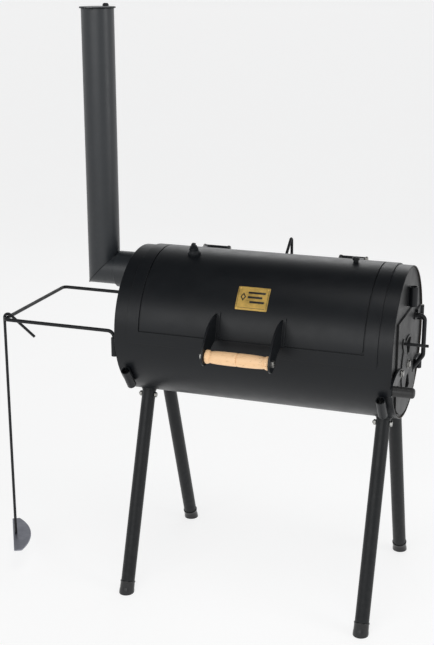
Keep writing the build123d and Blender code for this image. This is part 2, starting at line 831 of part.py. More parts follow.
# ---- Chimney ----

with BuildPart() as collar:
    with BuildSketch(Plane(origin=point(left_end, 0, flue_z), z_dir=(-1, 0, 0))):
        ring(collar_od / 2, flue_r + flue_fit)
    extrude(amount=collar_length)
save(collar.part, "chimney_collar")

miter = Plane(origin=point(chimney_x, 0, flue_z), z_dir=(1, 0, -1))
with BuildPart() as elbow:
    with BuildSketch(Plane(origin=point(left_end - flue_entry, 0, flue_z), z_dir=(-1, 0, 0))):
        ring(flue_r, flue_r - flue_wall)
    extrude(amount=left_end - flue_entry - chimney_x + 2 * flue_r)
    split(bisect_by=miter, keep=Keep.TOP)
save(elbow.part, "chimney_elbow")

with BuildPart() as pipe:
    with BuildSketch(level(chimney_x, 0, flue_z - 2 * flue_r)):
        ring(flue_r, flue_r - flue_wall)
    extrude(amount=chimney_top - flue_z + 2 * flue_r)
    split(bisect_by=miter, keep=Keep.BOTTOM)
save(pipe.part, "chimney_pipe")

with BuildPart() as lug:
    with BuildSketch(level(chimney_x, 0, chimney_top - cap_lug_height)):
        with Locations((0, cap_pivot)):
            Circle(cap_lug_radius)
            Rectangle(2 * cap_lug_radius, cap_pivot - flue_r + flue_wall, align=(Align.CENTER, Align.MAX))
        Circle(flue_r, mode=Mode.SUBTRACT)
        with Locations((0, cap_pivot)):
            Circle(cap_bolt / 2, mode=Mode.SUBTRACT)
    extrude(amount=cap_lug_height)
save(lug.part, "cap_lug")

cap_low = chimney_top + cap_gap
cap_high = cap_low + cap_thickness + cap_gap
with BuildPart() as cap:
    with BuildSketch(level(chimney_x, 0, cap_low)):
        Circle(cap_radius)
        with Locations((0, cap_pivot)):
            Circle(cap_ear)
        with Locations((0, -cap_tab)):
            Rectangle(cap_tab_width, cap_tab, align=(Align.CENTER, Align.MIN))
        with Locations((0, cap_pivot)):
            Circle(cap_bolt / 2 + pivot_play, mode=Mode.SUBTRACT)
    extrude(amount=cap_thickness)
    fillet(cap.edges().filter_by(Axis.Z).group_by(Axis.Y)[0], 4)
save(cap.part, "chimney_cap")

with BuildPart() as cap_screw:
    with BuildSketch(level(chimney_x, cap_pivot, cap_high)):
        Circle(cap_bolt / 2)
    extrude(amount=chimney_top - cap_lug_height - cap_bolt_tail - cap_high)
    with BuildSketch(level(chimney_x, cap_pivot, cap_high)):
        Circle(cap_dome)
    extrude(amount=cap_dome_height)
    fillet(cap_screw.faces().sort_by(Axis.Z)[-1].edges(), cap_dome_height - 2)
save(cap_screw.part, "cap_bolt")

# ---- Side rail and rake ----

rail_foot = rail_socket_low + rail_clear
rail_path = [(rail_x, -rail_y, rail_foot), (rail_x, -rail_y, rail_z), (-rail_reach, -rail_y, rail_z),
             (-rail_reach, rail_y, rail_z), (rail_x, rail_y, rail_z), (rail_x, rail_y, rail_foot)]
with BuildPart() as rail:
    with BuildLine():
        FilletPolyline(*[point(*place) for place in rail_path],
                       radius=(rail_bend, rail_corner, rail_corner, rail_bend))
    with BuildSketch(level(*rail_path[0])):
        Circle(rail_rod / 2)
    sweep()
save(rail.part, "side_rail")

# The rake's own plane: x points in over the rail, y points up.
hook_plane = Plane(origin=point(-rail_reach, rake_y, rail_z), x_dir=(cos(turn), sin(turn), 0),
                   z_dir=(sin(turn), -cos(turn), 0))
foot = hook_plane.from_local_coords(Vector(-rake_bend, -rake_length, 0))
hook_end = polar(rake_bend, 90 - rake_tip_slope)
tip_run, tip_drop = polar(rake_tip, rake_tip_slope)
with BuildPart() as rake:
    with BuildLine(hook_plane):
        Line((-rake_bend, -rake_length), (-rake_bend, 0))
        CenterArc((0, 0), rake_bend, 180, -90 - rake_tip_slope)
        Line(hook_end, (hook_end[0] + tip_run, hook_end[1] - tip_drop))
    with BuildSketch(Plane(origin=foot, z_dir=(0, 0, 1))):
        Circle(rake_rod / 2)
    sweep()
save(rake.part, "rake_rod")

with BuildPart() as blade:
    with BuildSketch(Plane(origin=foot, x_dir=(blade_cos, blade_sin, 0), z_dir=(0, 0, 1))):
        with Locations((-blade_edge + blade_depth - inner_r, 0)):
            Circle(inner_r)
        with Locations((-blade_edge, 0)):
            Rectangle(blade_depth, blade_width, align=(Align.MIN, Align.CENTER), mode=Mode.INTERSECT)
        fillet(vertices(), blade_corner)
    extrude(amount=-blade_thickness)
save(blade.part, "rake_blade")

# ---- Legs ----

stub_r = leg_od / 2 - leg_wall - stub_clearance
stubs = []
cross_bolts = []
cross_nuts = []
for end_name, side in (("front", -1), ("rear", 1)):
    for side_name, x in (("left", -leg_x), ("right", leg_x)):
        bolt_place = leg_plane(x, side, leg_bolt_depth).origin
        with BuildPart() as leg:
            with BuildSketch(leg_plane(x, side, leg_top)):
                ring(leg_od / 2, leg_od / 2 - leg_wall)
            extrude(amount=leg_length - leg_top - foot_solid)
            with BuildSketch(Plane(origin=bolt_place, z_dir=(1, 0, 0))):
                Circle(leg_bolt / 2)
            extrude(amount=leg_od, both=True, mode=Mode.SUBTRACT)
        save(leg.part, f"leg_{end_name}_{side_name}")

        with BuildPart() as foot_cap:
            with BuildSketch(leg_plane(x, side, leg_length - foot_height)):
                Circle(foot_od / 2)
            extrude(amount=foot_height + foot_od)
            with BuildSketch(leg_plane(x, side, leg_length - foot_height)):
                Circle(leg_od / 2)
            extrude(amount=foot_height - foot_solid, mode=Mode.SUBTRACT)
            with BuildSketch(Plane.XY):
                Rectangle(4 * barrel_length, 4 * barrel_length)
            extrude(amount=-2 * foot_od, mode=Mode.SUBTRACT)
        save(foot_cap.part, f"foot_cap_{end_name}_{side_name}")

        with BuildPart() as stub:
            with BuildSketch(leg_plane(x, side, shell_r - weld_depth)):
                ring(stub_r, stub_r - stub_wall)
            extrude(amount=stub_depth - shell_r + weld_depth)
            with BuildSketch(leg_plane(x, side, shell_r - weld_depth)):
                ring(leg_od / 2 + 1, stub_r - stub_wall)
            extrude(amount=leg_top - shell_r + weld_depth)
            clear_of_barrel(shell_r)
            with BuildSketch(Plane(origin=bolt_place, z_dir=(1, 0, 0))):
                Circle(leg_bolt / 2)
            extrude(amount=leg_od, both=True, mode=Mode.SUBTRACT)
        stubs.append(stub.part)

        reach = Vector(leg_od / 2 + side_play, 0, 0)
        head = Plane(origin=bolt_place + reach, z_dir=(1, 0, 0))
        tail = Plane(origin=bolt_place - reach, z_dir=(-1, 0, 0))
        cross_bolts.append(bolt(head, leg_bolt, leg_od + bolt_tail, hex_8, head_8))
        cross_nuts.append(nut(tail, leg_bolt, hex_8, nut_8))
save(Compound(stubs), "leg_stubs")
save(Compound(cross_bolts), "leg_bolts")
save(Compound(cross_nuts), "leg_nuts")

# ---- Grates ----


def grate(name, middle, length, half_depth, z):
    """A welded grate: a square rim with round bars across it, front to back."""
    with BuildPart() as body:
        with BuildSketch(level(middle, 0, z)):
            Rectangle(length, 2 * half_depth)
            Rectangle(length - 2 * grate_rim, 2 * half_depth - 2 * grate_rim, mode=Mode.SUBTRACT)
        extrude(amount=grate_rim)
        count = int((length - 2 * grate_rim) / bar_pitch)
        with BuildSketch(Plane(origin=point(middle, half_depth - grate_rim / 2, z + grate_rim / 2),
                               x_dir=(1, 0, 0), z_dir=(0, -1, 0))):
            with GridLocations(bar_pitch, 0, count, 1):
                Circle(bar_diameter / 2)
        extrude(amount=2 * half_depth - grate_rim)
    save(body.part, name)


grate_middle = (grate_length + grate_space) / 2
grate_seat = ledge_z + grate_gap
grate("cooking_grate_left", -grate_middle, grate_length, grate_half_depth, grate_seat)
grate("cooking_grate_right", grate_middle, grate_length, grate_half_depth, grate_seat)
grate("charcoal_grate", coal_centre, coal_length, coal_half_depth, coal_z)
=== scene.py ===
"""The looks of a barrel smoker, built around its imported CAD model. Metres, in the model's own frame."""
import json
import math
import random

import bmesh
import bpy
from mathutils import Matrix, Vector

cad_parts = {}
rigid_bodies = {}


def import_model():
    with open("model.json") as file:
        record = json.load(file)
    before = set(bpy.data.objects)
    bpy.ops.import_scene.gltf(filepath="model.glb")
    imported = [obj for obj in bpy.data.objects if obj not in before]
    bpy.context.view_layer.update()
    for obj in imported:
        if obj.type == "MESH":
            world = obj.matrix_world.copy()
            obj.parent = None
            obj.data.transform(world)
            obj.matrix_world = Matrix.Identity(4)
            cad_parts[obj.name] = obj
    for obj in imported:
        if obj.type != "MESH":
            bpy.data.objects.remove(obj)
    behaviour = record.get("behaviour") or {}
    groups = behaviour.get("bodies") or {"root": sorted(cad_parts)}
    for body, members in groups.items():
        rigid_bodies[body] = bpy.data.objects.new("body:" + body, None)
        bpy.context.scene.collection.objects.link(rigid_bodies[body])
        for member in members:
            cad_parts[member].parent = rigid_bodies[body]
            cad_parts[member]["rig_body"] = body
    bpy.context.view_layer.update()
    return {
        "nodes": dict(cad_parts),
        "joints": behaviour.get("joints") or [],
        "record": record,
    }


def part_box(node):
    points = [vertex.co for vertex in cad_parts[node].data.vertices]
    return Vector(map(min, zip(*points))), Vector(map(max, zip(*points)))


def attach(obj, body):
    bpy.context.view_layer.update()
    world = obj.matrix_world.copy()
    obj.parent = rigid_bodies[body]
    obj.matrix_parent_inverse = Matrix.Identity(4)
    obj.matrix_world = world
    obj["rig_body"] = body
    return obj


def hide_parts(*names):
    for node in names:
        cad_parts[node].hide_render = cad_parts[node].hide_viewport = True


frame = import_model()
random.seed(11)

# ---- Sizes that the frame's boxes don't give ----

lid_thickness = 0.0032
lid_overlap = 0.013             # how far the lid covers the barrel round the opening
lid_corner = 0.009
frame_gap = 0.003
frame_width = 0.034
frame_corner = 0.012
back_gap = 0.009                # from the lid's back edge to the frame's back strip
plug_hole_r = 0.0065
plate_corner = 0.002
plate_thickness = 0.0012
bracket_weld = (156.5, 174)     # where a bracket's weld starts and ends, in degrees round the barrel
leg_r = 0.019
leg_wall = 0.002
leg_gap = 0.0048                # between the barrel and a leg's upper end
leg_bolt_drop = 0.011
stub_collar_r = 0.02
foot_r = 0.021
foot_height = 0.033
foot_floor = 0.0137             # from a leg's lower end to its foot's centre on the ground
rail_r = 0.005
rail_bend = 0.018
rail_corner = 0.012
rake_r = 0.004
rake_turn = math.radians(20)
rake_gap = 0.0004
rake_bend = (rail_r + rake_r) / math.cos(rake_turn) + rake_gap
rake_tip = 0.092
flue_wall = 0.003
hex_8 = 0.013                   # M8 and M10 heads and nuts across their flats, and their heights
hex_10 = 0.017
head_8 = 0.0053
head_10 = 0.006
nut_8 = 0.0065
nut_10 = 0.008
thread_8 = 0.004                # radii
thread_10 = 0.005
thread_play = 0.0001            # how far a nut's bore is inside its thread
bead_step = 0.0009              # between the rings of a weld bead

# ---- Places from the frame ----

nodes = frame["nodes"]
joints = {joint["name"]: joint for joint in frame["joints"]}
mounts = {mount["name"]: mount for mount in frame["record"]["mounts"]}
slot_of = {part["node"]: part["material_slot"] for part in frame["record"]["subparts"]}


def middle(name):
    low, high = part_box(name)
    return (low + high) / 2


shell_low, shell_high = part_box("barrel_shell")
axis = (shell_low + shell_high) / 2
shell_r = (shell_high.z - shell_low.z) / 2
left_end = shell_low.x
right_end = shell_high.x
plate_low, plate_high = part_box("right_end_plate")
inner_r = (plate_high.z - plate_low.z) / 2
lid_low, lid_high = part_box("lid_panel")
skin_r = lid_high.z - axis.z
lid_r = skin_r - lid_thickness
lid_front = math.pi - math.asin((lid_low.z - axis.z) / lid_r)
lid_back = math.acos((lid_high.y - axis.y) / skin_r)
collar_low, collar_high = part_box("chimney_collar")
collar_r = (collar_high.z - collar_low.z) / 2
pipe_low, pipe_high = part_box("chimney_pipe")
flue_r = (pipe_high.y - pipe_low.y) / 2
flue = Vector(((pipe_low.x + pipe_high.x) / 2, axis.y, (collar_low.z + collar_high.z) / 2))
hinge_line = Vector(joints["lid_hinge"]["pos_m"])


def on_barrel(x, angle, radius):
    """A place at x, on a circle round the barrel's axis. Angle 0 is the back and pi / 2 the top."""
    return Vector((x, axis.y + radius * math.cos(angle), axis.z + radius * math.sin(angle)))


# ---- Materials ----

satin = (0.33, 0.41)            # roughness of the paint
paint_gloss = 0.27
orange_peel = 0.00008           # depth
bare_steel = (0.09, 0.09, 0.09)


def new_node(tree, kind, inputs=None, **settings):
    made = tree.nodes.new(kind)
    for key, value in settings.items():
        setattr(made, key, value)
    for key, value in (inputs or {}).items():
        if isinstance(value, bpy.types.NodeSocket):
            tree.links.new(value, made.inputs[key])
        else:
            made.inputs[key].default_value = value
    return made


def place(tree, stretch=(1, 1, 1)):
    """The piece's own coordinates, stretched."""
    own = new_node(tree, "ShaderNodeTexCoord").outputs["Object"]
    return new_node(tree, "ShaderNodeMapping", {"Vector": own, "Scale": stretch}).outputs["Vector"]


def noise(tree, scale, detail, stretch=(1, 1, 1)):
    inputs = {"Vector": place(tree, stretch), "Scale": scale, "Detail": detail, "Roughness": 0.55}
    return new_node(tree, "ShaderNodeTexNoise", inputs).outputs["Fac"]


def spread(tree, value, low, high, start=0.3, end=0.7):
    """Maps a noise to the range low to high."""
    inputs = {"Value": value, "From Min": start, "From Max": end, "To Min": low, "To Max": high}
    return new_node(tree, "ShaderNodeMapRange", inputs).outputs["Result"]


def blend_colours(tree, factor, first, second):
    """A colour between two, each of them a socket or a plain colour."""
    made = new_node(tree, "ShaderNodeMix", {0: factor}, data_type="RGBA")
    for socket, value in ((made.inputs[6], first), (made.inputs[7], second)):
        if isinstance(value, bpy.types.NodeSocket):
            tree.links.new(value, socket)
        else:
            socket.default_value = (*value, 1)
    return made.outputs[2]


def shade(colour, factor):
    return tuple(channel * factor for channel in colour)


def edges(tree, low=0.57, high=0.68):
    """Near 1 along outer edges."""
    point = new_node(tree, "ShaderNodeNewGeometry").outputs["Pointiness"]
    return spread(tree, point, 0, 1, low, high)


def start_material(name, metallic=0.0, sockets=None):
    made = bpy.data.materials.new(name)
    made.use_nodes = True
    shader = made.node_tree.nodes["Principled BSDF"]
    shader.inputs["Metallic"].default_value = metallic
    for key, value in (sockets or {}).items():
        shader.inputs[key].default_value = value
    return made, made.node_tree, shader


def surface(tree, shader, colour, roughness, height=None, depth=0.0001, strength=0.3):
    """Links the colour, roughness and bump of a material."""
    tree.links.new(colour, shader.inputs["Base Color"])
    tree.links.new(roughness, shader.inputs["Roughness"])
    if height is not None:
        inputs = {"Height": height, "Strength": strength, "Distance": depth}
        bump = new_node(tree, "ShaderNodeBump", inputs)
        tree.links.new(bump.outputs["Normal"], shader.inputs["Normal"])


def mottle(tree, colour):
    """Paint of slightly uneven darkness."""
    clouds = spread(tree, noise(tree, 5, 5), 0, 1)
    return blend_colours(tree, clouds, shade(colour, 0.88), shade(colour, 1.14))


def paint(name, colour, rough=satin, gloss=paint_gloss):
    """Satin heat-resistant paint: slight mottling, fine orange peel, and edges rubbed lighter."""
    wear = 0.3
    made, tree, shader = start_material(name, sockets={"Specular IOR Level": gloss})
    scuffs = spread(tree, noise(tree, 90, 6), 0, 1, 0.45, 0.75)
    rubbed = new_node(tree, "ShaderNodeMath", {0: edges(tree), 1: scuffs}, operation="MULTIPLY").outputs[0]
    rubbed = new_node(tree, "ShaderNodeMath", {0: rubbed, 1: wear}, operation="MULTIPLY").outputs[0]
    base = blend_colours(tree, rubbed, mottle(tree, colour), bare_steel)
    roughness = spread(tree, noise(tree, 28, 6), *rough)
    surface(tree, shader, base, roughness, noise(tree, 1500, 2), depth=orange_peel, strength=0.25)
    return made


def sooty_paint(name, colour):
    """Satin paint outside the barrel's inner wall, and dry soot within it."""
    made, tree, shader = start_material(name, sockets={"Specular IOR Level": paint_gloss})
    own = new_node(tree, "ShaderNodeTexCoord").outputs["Object"]
    centre = (0, axis.y, axis.z)
    off = new_node(tree, "ShaderNodeVectorMath", {0: own, 1: centre}, operation="SUBTRACT").outputs[0]
    flat = new_node(tree, "ShaderNodeVectorMath", {0: off, 1: (0, 1, 1)}, operation="MULTIPLY").outputs[0]
    reach = new_node(tree, "ShaderNodeVectorMath", {0: flat}, operation="LENGTH").outputs["Value"]
    outside = spread(tree, reach, 0, 1, inner_r + 0.0015, inner_r + 0.004)
    clouds = spread(tree, noise(tree, 16, 8), 0, 1)
    soot = blend_colours(tree, clouds, (0.006, 0.005, 0.004), (0.035, 0.024, 0.016))
    base = blend_colours(tree, outside, soot, mottle(tree, colour))
    painted = spread(tree, noise(tree, 28, 6), *satin)
    dry = spread(tree, noise(tree, 60, 8), 0.6, 0.95)
    roughness = new_node(tree, "ShaderNodeMix", {0: outside, 2: dry, 3: painted}).outputs[0]
    surface(tree, shader, base, roughness, noise(tree, 1500, 2), depth=orange_peel, strength=0.25)
    return made


def zinc(name):
    """Bright zinc plating with a faint yellow cast in patches."""
    made, tree, shader = start_material(name, metallic=1.0)
    patches = spread(tree, noise(tree, 120, 4), 0, 1)
    base = blend_colours(tree, patches, (0.36, 0.36, 0.35), (0.22, 0.21, 0.19))
    roughness = spread(tree, noise(tree, 300, 4), 0.24, 0.42)
    surface(tree, shader, base, roughness, noise(tree, 2500, 2), depth=0.00005)
    return made


def brass(name):
    """Brushed brass, the brush marks along X, with darker patina in patches."""
    made, tree, shader = start_material(name, metallic=0.6)
    streaks = noise(tree, 900, 3, stretch=(0.04, 1, 1))
    patina = spread(tree, noise(tree, 45, 5), 0, 1, 0.4, 0.8)
    bright = blend_colours(tree, spread(tree, streaks, 0, 1), (0.84, 0.56, 0.16), (0.72, 0.46, 0.11))
    base = blend_colours(tree, patina, bright, (0.42, 0.27, 0.07))
    roughness = spread(tree, streaks, 0.26, 0.42)
    surface(tree, shader, base, roughness, streaks, depth=0.00005, strength=0.35)
    return made


def beech(name):
    """Turned beech: faint long grain along X, short darker flecks, and an oiled surface."""
    made, tree, shader = start_material(name, sockets={"Coat Weight": 0.12, "Coat Roughness": 0.35})
    grain = spread(tree, noise(tree, 120, 6, stretch=(0.06, 1, 1)), 0, 1)
    broad = spread(tree, noise(tree, 26, 3, stretch=(0.2, 1, 1)), 0, 1)
    flecks = spread(tree, noise(tree, 700, 2, stretch=(0.12, 1, 1)), 0, 1, 0.62, 0.72)
    light = blend_colours(tree, grain, (0.97, 0.66, 0.39), (0.86, 0.54, 0.29))
    toned = blend_colours(tree, broad, light, (0.93, 0.6, 0.33))
    base = blend_colours(tree, flecks, toned, (0.4, 0.22, 0.1))
    roughness = spread(tree, grain, 0.42, 0.58)
    surface(tree, shader, base, roughness, grain, depth=0.00015, strength=0.35)
    return made


def plastic(name, colour, rough, grain):
    """Moulded plastic with a fine grain and slight scuffs."""
    made, tree, shader = start_material(name)
    scuffs = spread(tree, noise(tree, 70, 6), 0, 1, 0.5, 0.8)
    base = blend_colours(tree, scuffs, colour, shade(colour, 1.8))
    roughness = spread(tree, noise(tree, 45, 5), *rough)
    surface(tree, shader, base, roughness, noise(tree, grain, 2), depth=0.00006, strength=0.3)
    return made


def rolled_steel(name, first, second, rough, metallic=0.85):
    """Rolled or seasoned steel: cloudy scale with faint streaks along X."""
    made, tree, shader = start_material(name, metallic=metallic)
    cloud = spread(tree, noise(tree, 22, 7), 0, 1)
    base = blend_colours(tree, cloud, first, second)
    roughness = spread(tree, noise(tree, 160, 5, stretch=(0.3, 1, 1)), *rough)
    surface(tree, shader, base, roughness, noise(tree, 420, 5), depth=0.00012, strength=0.3)
    return made


def floor_material(name):
    """A pale, matt studio floor, evenly lit from within, with the faintest clouding."""
    made, tree, shader = start_material(name, sockets={"Specular IOR Level": 0.1, "Emission Strength": 0.76,
                                                       "Emission Color": (1, 1, 1, 1)})
    base = blend_colours(tree, spread(tree, noise(tree, 1.5, 3), 0, 1), (0.3, 0.3, 0.3), (0.31, 0.31, 0.31))
    roughness = spread(tree, noise(tree, 9, 3), 0.75, 0.85)
    surface(tree, shader, base, roughness)
    made.cycles.emission_sampling = "NONE"
    return made


black = (0.0055, 0.0066, 0.0082)
materials = {
    "satin_black": paint("satin_black", black),
    # door_paint is the barrel's own black paint with a lighter colour: painted sheen for the light from the
    # right that falls on the fire door's end
    "door_paint": paint("door_paint", (0.02, 0.0205, 0.021), rough=(0.42, 0.52)),
    "leg_paint": paint("leg_paint", (0.0055, 0.0064, 0.0074), rough=(0.34, 0.44)),
    "rod_paint": paint("rod_paint", (0.0085, 0.0092, 0.0105), rough=(0.38, 0.5)),
    "zinc": zinc("zinc"),
    "plate_brass": brass("plate_brass"),
    "beech": beech("beech"),
    "foot_plastic": plastic("foot_plastic", (0.006, 0.006, 0.0065), (0.12, 0.24), 900),
    "grip_plastic": plastic("grip_plastic", (0.01, 0.01, 0.01), (0.4, 0.55), 1600),
    "blade_steel": rolled_steel("blade_steel", (0.3, 0.305, 0.35), (0.22, 0.225, 0.26), (0.32, 0.48)),
    "grate_steel": rolled_steel("grate_steel", (0.06, 0.055, 0.05), (0.1, 0.085, 0.07), (0.45, 0.7), 0.6),
}
sooty = sooty_paint("sooty_paint", black)
# The chimney's paint is glossier than the barrel's, and its colour is the same black made lighter: painted
# sheen for the light the chimney catches from the right-front
flue_paint_painted_sheen = paint("flue_paint_painted_sheen", (0.014, 0.0165, 0.0195), gloss=0.5)
enamel = plastic("plate_enamel", (0.01, 0.01, 0.01), (0.3, 0.4), 1800)

# ---- Meshes ----


def piece(name, mesh, body, slot, replaced=(), edge=0.0, finish=None, sharp=math.radians(38)):
    """Makes an object of a bmesh: smooth faces, sharp corners kept, edges rounded when edge is given."""
    for face in mesh.faces:
        face.smooth = True
    for line in mesh.edges:
        line.smooth = not (len(line.link_faces) == 2 and line.calc_face_angle(0) > sharp)
    data = bpy.data.meshes.new(name)
    mesh.to_mesh(data)
    mesh.free()
    data.materials.append(finish or materials[slot])
    made = bpy.data.objects.new(name, data)
    bpy.context.scene.collection.objects.link(made)
    if edge:
        bevel = made.modifiers.new("edge", "BEVEL")
        bevel.width = edge
        bevel.segments = 2
        bevel.limit_method = "ANGLE"
        bevel.angle_limit = sharp
        bevel.harden_normals = True
    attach(made, body)
    if replaced:
        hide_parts(*replaced)
    return made


def frames(path, closed, up):
    """For each point of a path: its direction, and a side and a top vector square to it."""
    count = len(path)
    out = []
    for i, here in enumerate(path):
        before = path[(i - 1) % count] if closed or i else here
        after = path[(i + 1) % count] if closed or i < count - 1 else here
        way = (after - before).normalized()
        top = (up(here) if callable(up) else up)
        top = (top - way * top.dot(way)).normalized()
        out.append((here, way.cross(top), top))
    return out


def carried_frames(path):
    """Frames carried along a path without twist."""
    way = (path[1] - path[0]).normalized()
    top = way.orthogonal().normalized()
    out = []
    for i, here in enumerate(path):
        before, after = path[max(i - 1, 0)], path[min(i + 1, len(path) - 1)]
        turned = (after - before).normalized()
        top = (way.rotation_difference(turned) @ top).normalized()
        way = turned
        out.append((here, way.cross(top), top))
    return out


def skin(mesh, rings, closed_rings=False, cap=True):
    """Joins rings of points into a tube. A ring of one point is a tip."""
    made = [[mesh.verts.new(point) for point in ring] for ring in rings]
    pairs = list(zip(made, made[1:] + made[:1])) if closed_rings else list(zip(made, made[1:]))
    for first, second in pairs:
        count = max(len(first), len(second))
        for i in range(count):
            j = (i + 1) % count
            corners = [first[i % len(first)], first[j % len(first)],
                       second[j % len(second)], second[i % len(second)]]
            unique = list(dict.fromkeys(corners))
            if len(unique) > 2:
                mesh.faces.new(unique)
    if cap and not closed_rings:
        for ring in (made[0], made[-1]):
            if len(ring) > 2:
                mesh.faces.new(ring)
    return mesh


def settle(mesh):
    bmesh.ops.remove_doubles(mesh, verts=mesh.verts, dist=1e-7)
    bmesh.ops.recalc_face_normals(mesh, faces=mesh.faces)
    return mesh


def rod(path, radius, segments):
    """A round rod along a path, with its ends slightly rounded."""
    tip = 0.0008
    rings = []
    framed = carried_frames(path)
    first, last = framed[0], framed[-1]
    out_first = (path[0] - path[1]).normalized()
    out_last = (path[-1] - path[-2]).normalized()
    stations = [(first[0], first[1], first[2], radius - tip)]
    stations += [(here - (out_first * tip if i == 0 else out_last * tip if i == len(path) - 1 else Vector()),
                  side, top, radius) for i, (here, side, top) in enumerate(framed)]
    stations += [(last[0], last[1], last[2], radius - tip)]
    for here, side, top, size in stations:
        turns = [2 * math.pi * k / segments for k in range(segments)]
        rings.append([here + (side * math.cos(a) + top * math.sin(a)) * size for a in turns])
    return settle(skin(bmesh.new(), rings))


def rounded_path(points, radii):
    """Points joined by straight runs, each corner rounded to its radius."""
    steps = 9
    path = [points[0]]
    for before, corner, after, radius in zip(points, points[1:], points[2:], radii):
        back, on = (before - corner).normalized(), (after - corner).normalized()
        half = back.angle(on) / 2
        centre = corner + (back + on).normalized() * radius / math.sin(half)
        start = corner + back * radius / math.tan(half)
        end = corner + on * radius / math.tan(half)
        first, last = start - centre, end - centre
        whole = first.rotation_difference(last)
        turn, line = whole.angle, whole.axis
        path += [centre + Matrix.Rotation(turn * k / steps, 3, line) @ first for k in range(steps + 1)]
    return path + [points[-1]]


def lathe(profile, origin, way, segments=64, mesh=None, closed=False):
    """Turns (along, radius) points round a line. A closed profile makes a hollow piece."""
    mesh = mesh or bmesh.new()
    way = way.normalized()
    side = way.orthogonal().normalized()
    top = way.cross(side)
    rings = []
    for along, radius in profile:
        here = origin + way * along
        turns = [2 * math.pi * k / segments for k in range(segments)]
        ring = [here + (side * math.cos(a) + top * math.sin(a)) * radius for a in turns]
        rings.append(ring if radius > 1e-7 else [here])
    return settle(skin(mesh, rings, closed_rings=closed, cap=not closed))


def bead(mesh, path, width, up, closed=False):
    """A weld bead along a path: overlapping ripples, low and slightly uneven."""
    pitch = 0.0032
    rings = []
    run = 0.0
    ends = len(path) - 1
    for i, (here, side, top) in enumerate(frames(path, closed, up)):
        if i:
            run += (path[i] - path[i - 1]).length
        ripple = 0.84 + 0.16 * abs(math.sin(math.pi * run / pitch)) + random.uniform(-0.03, 0.03)
        taper = 1.0 if closed else min(1.0, 0.45 + min(i, ends - i) * 0.3)
        size = width * ripple * taper
        turns = [2 * math.pi * k / 10 for k in range(10)]
        rings.append([here + side * math.cos(a) * size + top * math.sin(a) * size * 0.7 for a in turns])
    return settle(skin(mesh, rings, closed_rings=closed))


def spaced(start, end):
    count = max(3, int((end - start).length / bead_step))
    return [start.lerp(end, k / count) for k in range(count + 1)]


def circle(centre, first, second, radius):
    """Points round a circle whose plane holds the unit vectors first and second."""
    count = int(2 * math.pi * radius / bead_step)
    turns = [2 * math.pi * k / count for k in range(count)]
    return [centre + (first * math.cos(a) + second * math.sin(a)) * radius for a in turns]


def from_axis(here):
    """The direction away from the barrel's axis."""
    return Vector((0, here.y - axis.y, here.z - axis.z)).normalized()


def rounded_rectangle(x0, y0, x1, y1, radius, steps=8):
    loop = []
    corners = ((x1 - radius, y1 - radius, 0), (x0 + radius, y1 - radius, 1),
               (x0 + radius, y0 + radius, 2), (x1 - radius, y0 + radius, 3))
    for x, y, quarter in corners:
        for k in range(steps + 1):
            a = (quarter + k / steps) * math.pi / 2
            loop.append((x + radius * math.cos(a), y + radius * math.sin(a)))
    return loop


def round_loop(x, y, radius):
    steps = 40
    turns = [2 * math.pi * k / steps for k in range(steps)]
    return [(x + radius * math.cos(a), y + radius * math.sin(a)) for a in turns]


def plate(loops, thickness, edge):
    """A flat plate, z from 0 to its thickness. The first loop is its outline and the others are holes."""
    outline = bpy.data.curves.new("outline", "CURVE")
    outline.dimensions = "2D"
    outline.fill_mode = "BOTH"
    outline.extrude = thickness / 2 - edge
    outline.bevel_depth = edge
    outline.bevel_resolution = 2
    outline.offset = -edge
    for loop in loops:
        spline = outline.splines.new("POLY")
        spline.points.add(len(loop) - 1)
        for point, (x, y) in zip(spline.points, loop):
            point.co = (x, y, 0, 1)
        spline.use_cyclic_u = True
    holder = bpy.data.objects.new("outline", outline)
    solid = bpy.data.meshes.new_from_object(holder)
    mesh = bmesh.new()
    mesh.from_mesh(solid)
    bmesh.ops.translate(mesh, verts=mesh.verts, vec=(0, 0, thickness / 2))
    bpy.data.objects.remove(holder)
    bpy.data.curves.remove(outline)
    bpy.data.meshes.remove(solid)
    return settle(mesh)


def wrap(mesh, radius):
    """Bends a flat plate round the barrel: its y is length along the circle and its z is height above it."""
    step = math.radians(1.5)
    low = min(vert.co.y for vert in mesh.verts)
    high = max(vert.co.y for vert in mesh.verts)
    for k in range(math.ceil(low / radius / step), math.floor(high / radius / step) + 1):
        everything = mesh.verts[:] + mesh.edges[:] + mesh.faces[:]
        cut = Vector((0, k * step * radius, 0))
        bmesh.ops.bisect_plane(mesh, geom=everything, dist=1e-6, plane_co=cut, plane_no=(0, 1, 0))
    for vert in mesh.verts:
        vert.co = on_barrel(vert.co.x, vert.co.y / radius, radius + vert.co.z)
    bmesh.ops.recalc_face_normals(mesh, faces=mesh.faces)
    return mesh


def weigh(made):
    """Keeps wide faces even beside their rounded edges."""
    weighted = made.modifiers.new("even", "WEIGHTED_NORMAL")
    weighted.keep_sharp = True
    return made


def hex_solid(mesh, base, way, flats, height, bore=0.0):
    """A hexagonal head or nut whose outer corners are turned off at 30 degrees."""
    segments = 72
    way = way.normalized()
    side = way.orthogonal().normalized()
    top = way.cross(side)
    sixth = math.pi / 3
    face_r = flats / 2 * 0.94
    rings = [[], [], [], []]
    for k in range(segments):
        a = 2 * math.pi * k / segments
        out = flats / 2 / math.cos((a + sixth / 2) % sixth - sixth / 2)
        ray = side * math.cos(a) + top * math.sin(a)
        rings[0].append(base + ray * bore)
        rings[1].append(base + ray * out)
        rings[2].append(base + ray * out + way * (height - (out - face_r) * math.tan(math.pi / 6)))
        rings[3].append(base + ray * face_r + way * height)
    if bore:
        rings.append([point + way * height for point in rings[0]])
        return settle(skin(mesh, rings, closed_rings=True, cap=False))
    return settle(skin(mesh, rings[1:]))


